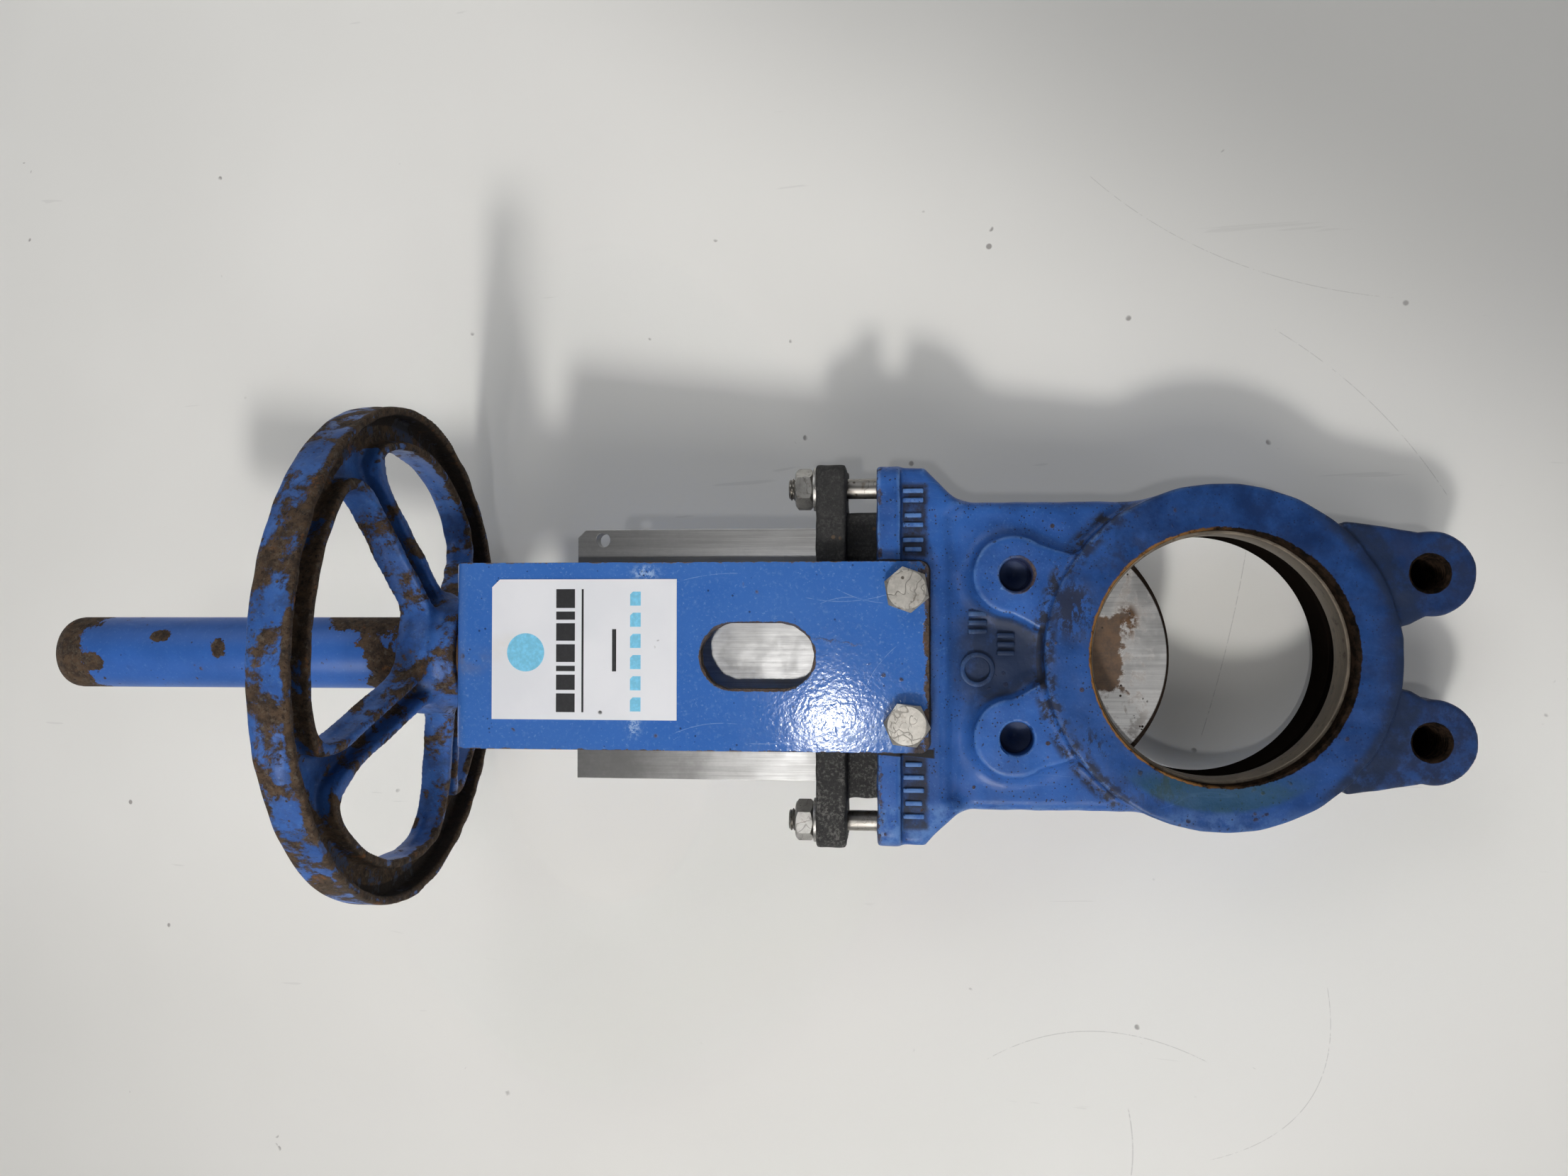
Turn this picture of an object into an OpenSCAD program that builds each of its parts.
// Wafer knife gate valve for a DN100 pipe, with a handwheel that stays at one height.
// Frame: the origin is the centre of the bore, +Z runs up the stem, +Y along the flow
// and +X across the gate. Everything is in millimetres.

/* [Body casting] */
// Length between the two pipe faces
face_to_face = 50; // [49:0.5:54]
// Diameter of the flow bore
bore_d = 105.4; // [102:0.2:106]
// Diameter of the raised sealing ring round the bore
ring_d = 144; // [143:0.5:148]
// Width of the chest that the gate slides in
chest_w = 132; // [130:0.5:134]
// Thickness of the chest along the flow
chest_t = 32; // [31:0.5:36]
// Width of the gland flange on top of the chest
flange_w = 162; // [160:0.5:164]
// Height of the gland flange's top face above the bore
flange_top = 141.5; // [141:0.5:143]

/* [Pipe bolts] */
// Pitch circle of the eight pipe bolts
pipe_pcd = 180; // [178:0.5:182]
// Tapping diameter of the pipe bolt holes
pipe_tap_d = 14; // [13.5:0.1:14.5]
// Distance between the front and rear bolt boss faces
boss_span = 44; // [43:0.5:46]
// Depth of the blind holes in the upper bosses
blind_depth = 13; // [10:0.5:13]

/* [Gate] */
// Width of the gate plate
gate_w = 111.8; // [111:0.1:112]
// Thickness of the gate plate
gate_t = 8; // [7.8:0.1:8]
// Length of the gate plate, lip to top edge
gate_len = 260.1; // [258:0.1:260.2]
// Radius of the rounded cutting lip
lip_r = 60; // [59:0.5:60]
// Height of the gate above its closed position as drawn
gate_lift = 72.6; // [70:0.1:74]

/* [Gland] */
// Width of the gland follower
gland_w = 165; // [160:1:168]
// Thickness of the follower's plate
gland_t = 13; // [12:0.5:14]
// Gap between the body flange and the follower's plate
gland_gap = 13.5; // [12:0.5:14]
// Distance of each gland stud from the centre
stud_x = 73.6; // [73:0.1:74]

/* [Yoke] */
// Width of the yoke plates
yoke_w = 80; // [78:1:84]
// Thickness of the yoke plate
yoke_t = 6; // [5:0.5:7]
// Height of the yoke's lower edge
yoke_low = 120; // [119:0.5:122]
// Height of the yoke's top face
yoke_top = 324.5; // [324:0.5:326]
// Distance of each yoke bolt from the centre
yoke_bolt_x = 28; // [26:0.5:30]

/* [Stem and handwheel] */
// Outer diameter of the trapezoidal stem thread
stem_d = 20; // [18:1:20]
// Outer diameter of the handwheel
wheel_d = 225; // [220:1:230]
// Width of the handwheel rim along the stem
rim_w = 17; // [16:0.5:18]
// Number of handwheel spokes
spoke_count = 4; // [3:1:5]
// Turn of the first spoke from +X towards -Y, in degrees
spoke_turn = 30; // [0:1:45]
// Outer diameter of the stem protector tube
tube_d = 32.8; // [32:0.1:34]
// Height of the protector tube's open end
tube_top = 516; // [514:1:520]

/* [Hidden] */
$fn = 96;
eps = 0.1;             // overshoot of cutting shapes
fit = 0.05;            // radial clearance of close fits
play = 0.3;            // clearance of the sliding gate from seat, packing and ring

half_len = face_to_face / 2;
// Eight pipe bolts: the four that the body has holes for lie 22.5 degrees off the stem.
bolt_x = pipe_pcd / 2 * sin(22.5);
bolt_z = pipe_pcd / 2 * cos(22.5);
boss_r = 17.5;
boss_y = boss_span / 2;
boss_rise = 1.3;               // the boss's centre above its hole
lug_drop = 1;                  // the lug's centre below its hole

flange_t = 10.5;               // gland flange, and the thinner step under it
flange_r = 8;
step_low = 21;
step_t = 12;
step_y = 40;
shoulder_low = 108;            // where the chest starts to widen
shoulder_high = 121.5;
shoulder_t = 36;
pad_edge = 2;                  // the yoke's pad stands out past the yoke by this

gate_slot_w = gate_w + 2.4;
gate_slot_t = gate_t + 2;
gate_slot_r = lip_r + 1.5;
lip_centre_closed = 4;         // height of the lip's arc centre when the gate is shut
lip_centre = lip_centre_closed + gate_lift;
gate_top = lip_centre - lip_r + gate_len;
eye_r = 3.15;                  // small hole in the gate's corner
eye_in = 4.6;
eye_drop = 11.6;
corner_cut = 5;                // side of the square that clips the gate's corner

box_w = 125;                   // stuffing box
box_t = 21;
box_low = 112;
ring_h = 7;                    // packing ring height
ring_low = box_low + 0.2;
ring_gap = 0.4;                // packing ring to box wall, both sides together
neck_low = ring_low + 3 * (ring_h + fit) + 0.2;
gland_low = flange_top + gland_gap;
gland_top = gland_low + gland_t;
gland_y = 40;
gland_gate = 0.7;              // follower to gate

seat_y = -19.2;                // front end of the seat retainer ring
seat_front = -10.2;            // front end of the seat
ring_in = 51.3;
ring_out = 54;
seat_out = 57;

m10_r = 5;
stud_r = 4.5;                  // rolled M10 stud shank
stud_low = flange_top - 16.5;
stud_len = 56;
stud_foot = 15;                // threaded length in the body
stud_head = 13.8;              // threaded length from just inside the follower
stud_hole = 17;
washer_t = 2;
washer_r = 9.7;
nut_af = 16;
nut_h = 8;
bolt_head_af = 17;
bolt_head_h = 6.4;
yoke_bolt_z = yoke_low + 9.3;
yoke_bolt_hole = 12;           // depth of the tapped hole in the body

yoke_in = half_len;            // inner face of each yoke plate
yoke_out = half_len + yoke_t;
yoke_under = yoke_top - yoke_t;
bend_r = 9;                    // outer radius of the yoke's bends
bend_y = yoke_out - bend_r;
bend_z = yoke_top - bend_r;
slot_low = 168;
slot_high = 216;
slot_r = 13.85;

label_t = 0.3;
label_left = -27.2;
label_right = 32.8;
label_low = 226.3;
label_high = 306.9;
label_clip = 3.4;

notch_w = 29;                  // notch in the gate's top edge for the clevis block
notch_low = gate_top - 19.7;
clevis_w = notch_w - 3;
clevis_low = notch_low + 1;
clevis_top = gate_top - 0.7;
clevis_y = 12;
clevis_bolt_x = 18;
clevis_bolt_z = gate_top - 26.7;
m8_r = 4;
m8_af = 13;
m8_head_h = 5.3;
m8_nut_h = 6.5;
m8_end = 17;                   // end of the clevis bolts behind the gate
cheek_w = 52;                  // cheeks that straddle the gate
cheek_y = 9;
cheek_low = gate_top - 34.7;
cheek_high = gate_top - 14.7;
pin_z = gate_top - 8.7;
pin_r = 2.5;

stem_r = stem_d / 2;
stem_low = gate_top - 14.7;
stem_high = stem_low + 198;
nut_r = 15;                    // neck of the bronze stem nut
nut_flange_r = 19;
nut_flange_low = yoke_top - 9.5;
nut_flange_high = nut_flange_low + 2.4;
nut_top = yoke_top + 31.5;
nut_thread_r = 14;
upper_washer_r = 22;
key_w = 5;
key_low = yoke_top + 4.5;
key_high = yoke_top + 22.5;

hub_r = 25;
hub_low = yoke_top + 2.1;
hub_high = yoke_top + 25.5;
rim_low = yoke_top + 30.5;
rim_high = rim_low + rim_w;
rim_r = wheel_d / 2;
rim_wall = 3.7;
rim_floor = 5;                 // depth of the rim's channel, and thickness of its floor
lip_in = 93;                   // inner radius of the lip round the windows
lip_t = 4;
spoke_w = 16;
spoke_h = 13;
spoke_wall = 4;
spoke_start = 14;
spoke_len = 86;
spoke_z0 = yoke_top + 6.7;     // height where a spoke's edge would meet the axis
spoke_rise = 14.6;             // climb of the spokes from hub to rim, degrees

lock_r = 21.5;
lock_edge = 2.5;               // straight part of the lock nut's side
lock_high = yoke_top + 32;
tube_r = tube_d / 2;
tube_wall = 3;
dome = 6;
cap_neck = 8;

// ---- helpers ----

// Extrudes an outline drawn in X and Z by t along Y, centred on the plane y.
module along_flow(t, y = 0) {
    translate([0, y + t / 2, 0])
        rotate([90, 0, 0])
            linear_extrude(t) children();
}

// A rectangle with round corners, built from squares and circles.
module rounded_rect(w, d, r) {
    square([w - 2 * r, d], center = true);
    square([w, d - 2 * r], center = true);
    for (sx = [-1, 1], sy = [-1, 1])
        translate([sx * (w / 2 - r), sy * (d / 2 - r)]) circle(r);
}

// A round bar along Y between two heights of y.
module bar_y(r, y0, y1) {
    translate([0, y1, 0])
        rotate([90, 0, 0]) cylinder(h = y1 - y0, r = r);
}

// A hexagon prism along Z with its corners turned down at the top, af across flats.
module hex_head(af, h) {
    corner = af / sqrt(3);
    intersection() {
        cylinder(h = h, r = corner, $fn = 6);
        cylinder(h = h, r1 = corner + h * 1.7, r2 = af / 2 * 0.97);
    }
}

// A flat-sided ring with a rectangular outside and inside, for packing and follower.
module slot_ring(w, t, hole_w, hole_t, h) {
    difference() {
        translate([-w / 2, -t / 2, 0]) cube([w, t, h]);
        translate([-hole_w / 2, -hole_t / 2, -eps]) cube([hole_w, hole_t, h + 2 * eps]);
    }
}

module both_x(x) {
    for (sx = [-1, 1]) translate([sx * x, 0, 0]) children();
}

// ---- body and seat ----

// Boss round one blind bolt hole, with its web to the ring. Points are measured from the hole.
module boss_outline() {
    translate([bolt_x, bolt_z]) {
        translate([0, boss_rise]) circle(boss_r);
        polygon([[-9.8, 16.1], [-23.4, -8.6], [-26.4, -33.1], [-4.4, -43.1], [10.1, -27.1],
                 [17.2, -1.1]]);
    }
}

// Lug round one through bolt hole, with its shoulder to the ring, measured from the hole.
module lug_outline() {
    translate([bolt_x, -bolt_z]) {
        translate([0, -lug_drop]) circle(boss_r);
        polygon([[-7.5, -16.9], [-20.4, 6.6], [-24.4, 23.1], [5.6, 43.1], [21.6, 33.1],
                 [19.1, 19.1], [16.9, 3.1]]);
    }
}

// Flat housing of the gate, widening to the gland flange, with the yoke's pad in front and behind.
module chest() {
    translate([0, 0, -10])
        linear_extrude(box_low + 20) rounded_rect(chest_w, chest_t, 6);
    translate([0, 0, flange_top - flange_t])
        linear_extrude(flange_t) rounded_rect(flange_w, face_to_face, flange_r);
    translate([0, 0, flange_top - step_low])
        linear_extrude(step_t) rounded_rect(flange_w, step_y, flange_r);
    along_flow(shoulder_t)
        polygon([[-chest_w / 2, shoulder_low], [chest_w / 2, shoulder_low],
                 [flange_w / 2, shoulder_high], [-flange_w / 2, shoulder_high]]);
    translate([-yoke_w / 2 - pad_edge, -half_len, yoke_low - pad_edge])
        cube([yoke_w + 2 * pad_edge, face_to_face, flange_top - yoke_low]);
}

module gate_slot() {
    intersection() {
        translate([0, 0, lip_centre_closed]) bar_y(gate_slot_r, -gate_slot_t / 2, gate_slot_t / 2);
        cube([gate_slot_w, face_to_face, 200], center = true);
    }
    translate([-gate_slot_w / 2, -gate_slot_t / 2, lip_centre_closed])
        cube([gate_slot_w, gate_slot_t, box_low]);
}

module valve_body() {
    color("royalblue")
    difference() {
        union() {
            bar_y(ring_d / 2, -half_len, half_len);
            chest();
            for (sx = [0, 1]) mirror([sx, 0, 0]) {
                along_flow(boss_span) boss_outline();
                along_flow(boss_span) lug_outline();
            }
        }
        bar_y(bore_d / 2, -half_len - eps, half_len + eps);
        bar_y(ring_out + fit, seat_y, 0);
        bar_y(seat_out + fit, seat_front, 0);
        gate_slot();
        translate([-box_w / 2, -box_t / 2, box_low]) cube([box_w, box_t, 40]);
        both_x(bolt_x) {
            translate([0, 0, bolt_z]) bar_y(pipe_tap_d / 2, -boss_y - eps, -boss_y + blind_depth);
            translate([0, 0, bolt_z]) bar_y(pipe_tap_d / 2, boss_y - blind_depth, boss_y + eps);
            translate([0, 0, -bolt_z]) bar_y(pipe_tap_d / 2, -boss_y - eps, boss_y + eps);
        }
        both_x(yoke_bolt_x) {
            translate([0, 0, yoke_bolt_z]) bar_y(m10_r + fit, -half_len - eps, -half_len + yoke_bolt_hole);
            translate([0, 0, yoke_bolt_z]) bar_y(m10_r + fit, half_len - yoke_bolt_hole, half_len + eps);
        }
        both_x(stud_x)
            translate([0, 0, flange_top - stud_hole]) cylinder(h = 2 * stud_hole, r = m10_r + fit);
    }
}

module seat_retainer_ring() {
    color("darkgoldenrod")
    difference() {
        bar_y(ring_out, seat_y + fit, -gate_t / 2 - play);
        bar_y(ring_in, seat_y - eps, 0);
    }
}

module resilient_seat() {
    color("black")
    difference() {
        bar_y(seat_out, seat_front + fit, -gate_t / 2 - play);
        bar_y(ring_out + fit, seat_front - eps, 0);
    }
}

// ---- gland ----

module packing_ring(level) {
    color("dimgray")
    translate([0, 0, ring_low + level * (ring_h + fit)])
        slot_ring(box_w - ring_gap, box_t - ring_gap, gate_w + 2 * play, gate_t + 2 * play, ring_h);
}

module packing_ring_lower() { packing_ring(0); }
module packing_ring_middle() { packing_ring(1); }
module packing_ring_upper() { packing_ring(2); }

module gland_follower() {
    color("black")
    difference() {
        union() {
            translate([0, 0, gland_low]) linear_extrude(gland_t) rounded_rect(gland_w, gland_y, 3);
            translate([-box_w / 2 + play, -box_t / 2 + play, neck_low])
                cube([box_w - 2 * play, box_t - 2 * play, gland_low - neck_low + 1]);
        }
        translate([-gate_w / 2 - gland_gate, -gate_t / 2 - gland_gate, neck_low - eps])
            cube([gate_w + 2 * gland_gate, gate_t + 2 * gland_gate, 60]);
        both_x(stud_x)
            translate([0, 0, gland_low - eps]) cylinder(h = gland_t + 2 * eps, r = m10_r + 0.5);
    }
}

module gland_studs() {
    color("silver")
    both_x(stud_x) {
        translate([0, 0, stud_low]) cylinder(h = stud_len, r = stud_r);
        translate([0, 0, stud_low]) cylinder(h = stud_foot, r = m10_r);
        translate([0, 0, gland_top - 1]) cylinder(h = stud_head, r = m10_r);
    }
}

module gland_washers() {
    color("silver")
    both_x(stud_x) translate([0, 0, gland_top]) difference() {
        cylinder(h = washer_t, r = washer_r);
        translate([0, 0, -eps]) cylinder(h = washer_t + 2 * eps, r = m10_r + play);
    }
}

module gland_nuts() {
    color("silver")
    both_x(stud_x) translate([0, 0, gland_top + washer_t]) difference() {
        hex_head(nut_af, nut_h);
        translate([0, 0, -eps]) cylinder(h = nut_h + 2 * eps, r = m10_r + fit);
    }
}

// ---- yoke ----

// Section of the bent plate, in Y and Z.
module yoke_section() {
    inner_r = bend_r - yoke_t;
    difference() {
        union() {
            translate([-yoke_out, yoke_low]) square([2 * yoke_out, bend_z - yoke_low]);
            translate([-bend_y, yoke_low]) square([2 * bend_y, yoke_top - yoke_low]);
            for (sy = [-1, 1])
                translate([sy * bend_y, bend_z]) circle(bend_r);
        }
        translate([-yoke_in, yoke_low - eps])
            square([2 * yoke_in, yoke_under - inner_r - yoke_low + eps]);
        translate([-yoke_in + inner_r, yoke_low - eps])
            square([2 * (yoke_in - inner_r), yoke_under - yoke_low + eps]);
        for (sy = [-1, 1])
            translate([sy * bend_y, bend_z]) circle(inner_r);
    }
}

module yoke() {
    color("royalblue")
    difference() {
        translate([-yoke_w / 2, 0, 0])
            rotate([90, 0, 90]) linear_extrude(yoke_w) yoke_section();
        along_flow(4 * yoke_out) {
            translate([0, slot_low + slot_r]) circle(slot_r);
            translate([0, slot_high - slot_r]) circle(slot_r);
            translate([-slot_r, slot_low + slot_r]) square([2 * slot_r, slot_high - slot_low - 2 * slot_r]);
        }
        both_x(yoke_bolt_x)
            translate([0, 0, yoke_bolt_z]) bar_y(m10_r + 0.5, -2 * yoke_out, 2 * yoke_out);
        translate([0, 0, yoke_under - eps]) cylinder(h = yoke_t + 2 * eps, r = nut_r + fit);
    }
}

// Two hexagon-head bolts on the front plate, heads towards -Y.
module yoke_bolt_pair() {
    both_x(yoke_bolt_x) translate([0, 0, yoke_bolt_z]) {
        bar_y(m10_r, -yoke_out - eps, -half_len + yoke_bolt_hole - 1);
        translate([0, -yoke_out, 0])
            rotate([90, 0, 0]) rotate([0, 0, 30]) hex_head(bolt_head_af, bolt_head_h);
    }
}

module yoke_bolts_front() { color("silver") yoke_bolt_pair(); }
module yoke_bolts_rear() { color("silver") mirror([0, 1, 0]) yoke_bolt_pair(); }

// Blank self-adhesive plate with one clipped corner.
module label_plate() {
    color("white")
    along_flow(label_t, -yoke_out - label_t / 2)
        polygon([[label_left, label_low], [label_right, label_low],
                 [label_right, label_high - label_clip], [label_right - label_clip, label_high],
                 [label_left, label_high]]);
}

// ---- gate and stem ----

module gate() {
    color("lightgray")
    difference() {
        union() {
            intersection() {
                translate([0, 0, lip_centre]) bar_y(lip_r, -gate_t / 2, gate_t / 2);
                translate([-gate_w / 2, -gate_t, lip_centre - 2 * lip_r])
                    cube([gate_w, 2 * gate_t, 2 * lip_r]);
            }
            translate([-gate_w / 2, -gate_t / 2, lip_centre - eps])
                cube([gate_w, gate_t, gate_top - lip_centre + eps]);
        }
        translate([-notch_w / 2, -gate_t, notch_low]) cube([notch_w, 2 * gate_t, 40]);
        both_x(clevis_bolt_x)
            translate([0, 0, clevis_bolt_z]) bar_y(m8_r + 0.2, -gate_t, gate_t);
        translate([gate_w / 2 - eye_in, 0, gate_top - eye_drop]) bar_y(eye_r, -gate_t, gate_t);
        translate([gate_w / 2, 0, gate_top])
            rotate([0, 45, 0]) cube([corner_cut, 2 * gate_t, corner_cut], center = true);
    }
}

module stem() {
    color("silver")
    difference() {
        translate([0, 0, stem_low]) cylinder(h = stem_high - stem_low, r = stem_r);
        translate([0, 0, pin_z]) rotate([0, 90, 0]) cylinder(h = 40, r = pin_r, center = true);
    }
}

// Block in the gate's notch with two cheeks that straddle the plate.
module stem_clevis() {
    color("gray")
    difference() {
        union() {
            translate([-clevis_w / 2, -clevis_y, clevis_low])
                cube([clevis_w, 2 * clevis_y, clevis_top - clevis_low]);
            for (sy = [0, 1]) mirror([0, sy, 0])
                translate([-cheek_w / 2, gate_t / 2 + fit, cheek_low])
                    cube([cheek_w, cheek_y - gate_t / 2 - fit, cheek_high - cheek_low]);
        }
        translate([0, 0, stem_low - fit]) cylinder(h = 20, r = stem_r + fit);
        both_x(clevis_bolt_x)
            translate([0, 0, clevis_bolt_z]) bar_y(m8_r + 0.2, -2 * cheek_y, 2 * cheek_y);
        translate([0, 0, pin_z]) rotate([0, 90, 0]) cylinder(h = 40, r = pin_r, center = true);
    }
}

module clevis_pin() {
    color("silver")
    translate([0, 0, pin_z])
        rotate([0, 90, 0]) cylinder(h = clevis_w - ring_gap, r = pin_r - fit, center = true);
}

module clevis_bolts() {
    color("silver")
    both_x(clevis_bolt_x) translate([0, 0, clevis_bolt_z]) {
        bar_y(m8_r, -cheek_y - eps, m8_end);
        translate([0, -cheek_y, 0]) rotate([90, 0, 0]) hex_head(m8_af, m8_head_h);
    }
}

module clevis_nuts() {
    color("silver")
    both_x(clevis_bolt_x) translate([0, cheek_y, clevis_bolt_z]) difference() {
        rotate([-90, 0, 0]) hex_head(m8_af, m8_nut_h);
        bar_y(m8_r + fit, -1, m8_nut_h + 1);
    }
}

// ---- drive ----

// Bronze nut: a flange under the yoke, a neck through it and a threaded top.
module stem_nut() {
    color("darkgoldenrod")
    difference() {
        union() {
            translate([0, 0, nut_flange_low])
                cylinder(h = nut_flange_high - nut_flange_low, r = nut_flange_r);
            translate([0, 0, nut_flange_low]) cylinder(h = hub_high - nut_flange_low, r = nut_r);
            translate([0, 0, nut_flange_low]) cylinder(h = nut_top - nut_flange_low, r = nut_thread_r);
        }
        translate([0, 0, nut_flange_low - eps]) cylinder(h = 60, r = stem_r + 0.08);
        translate([nut_r - key_w / 2 - fit, -key_w / 2 - fit, key_low - fit])
            cube([key_w, key_w + 2 * fit, key_high - key_low + 2 * fit]);
    }
}

module thrust_washer(low, high, r) {
    color("darkkhaki")
    translate([0, 0, low]) difference() {
        cylinder(h = high - low, r = r);
        translate([0, 0, -eps]) cylinder(h = high - low + 2 * eps, r = nut_r + 2 * fit);
    }
}

module thrust_washer_lower() { thrust_washer(nut_flange_high, yoke_under - play, nut_flange_r); }
module thrust_washer_upper() { thrust_washer(yoke_top + 2 * fit, hub_low, upper_washer_r); }

// Section of the rim: a channel open towards the body, with a lip round the windows.
module rim_section() {
    floor_low = rim_low + rim_floor;
    floor_high = floor_low + rim_floor;
    lip_out = lip_in + lip_t;
    lip_high = rim_high - lip_t;
    band_in = rim_r - rim_wall;
    polygon([[lip_in, rim_low + 0.5], [lip_out - 0.5, rim_low], [lip_out, floor_low],
             [band_in, floor_low], [band_in, rim_low + 0.5], [band_in + 1, rim_low],
             [rim_r - 1, rim_low], [rim_r, rim_low + 1], [rim_r, rim_high - 4],
             [rim_r - 2, rim_high], [rim_r - 4.5, rim_high], [rim_r - 5, floor_high],
             [lip_out, floor_high], [lip_out, lip_high], [lip_in, lip_high]]);
}

// One spoke: a channel open towards the body that climbs from the hub to the rim.
module spoke() {
    translate([0, 0, spoke_z0]) rotate([0, -spoke_rise, 0]) translate([spoke_start, 0, 0]) {
        for (sy = [0, 1]) mirror([0, sy, 0])
            translate([0, spoke_w / 2 - spoke_wall, 0]) cube([spoke_len, spoke_wall, spoke_h]);
        translate([0, -spoke_w / 2, spoke_h - spoke_wall]) cube([spoke_len, spoke_w, spoke_wall]);
    }
}

module handwheel() {
    color("royalblue")
    difference() {
        union() {
            rotate_extrude() rim_section();
            for (k = [0 : spoke_count - 1])
                rotate([0, 0, -spoke_turn - k * 360 / spoke_count]) spoke();
            translate([0, 0, hub_low]) cylinder(h = hub_high - hub_low, r = hub_r);
        }
        translate([0, 0, hub_low - eps]) cylinder(h = 60, r = nut_r + fit);
        translate([0, -key_w / 2 - fit, hub_low - eps])
            cube([nut_r + key_w / 2 + fit, key_w + 2 * fit, 60]);
        translate([0, 0, hub_high]) cylinder(h = 20, r = lock_r + 1);
    }
}

module wheel_key() {
    color("silver")
    translate([nut_r - key_w / 2, -key_w / 2, key_low])
        cube([key_w, key_w, key_high - key_low]);
}

module lock_nut() {
    color("saddlebrown")
    rotate_extrude()
        polygon([[nut_thread_r + fit, hub_high + fit], [lock_r, hub_high + fit],
                 [lock_r, hub_high + lock_edge], [tube_r + 0.5, lock_high],
                 [nut_thread_r + fit, lock_high]]);
}

module protector_tube() {
    color("royalblue")
    translate([0, 0, lock_high]) difference() {
        cylinder(h = tube_top - lock_high, r = tube_r);
        translate([0, 0, -eps]) cylinder(h = tube_top - lock_high + 2 * eps, r = tube_r - tube_wall);
    }
}

// Plug with a domed head that closes the tube.
module tube_cap() {
    color("black")
    translate([0, 0, tube_top]) {
        rotate_extrude() {
            square([tube_r - dome, dome]);
            intersection() {
                translate([tube_r - dome, 0]) circle(dome);
                square([tube_r, dome]);
            }
        }
        translate([0, 0, -cap_neck]) cylinder(h = cap_neck + eps, r = tube_r - tube_wall - fit);
    }
}

valve_body();
seat_retainer_ring();
resilient_seat();
packing_ring_lower();
packing_ring_middle();
packing_ring_upper();
gland_follower();
gland_studs();
gland_washers();
gland_nuts();
yoke();
yoke_bolts_front();
yoke_bolts_rear();
label_plate();
gate();
stem();
stem_clevis();
clevis_pin();
clevis_bolts();
clevis_nuts();
stem_nut();
thrust_washer_lower();
thrust_washer_upper();
handwheel();
wheel_key();
lock_nut();
protector_tube();
tube_cap();
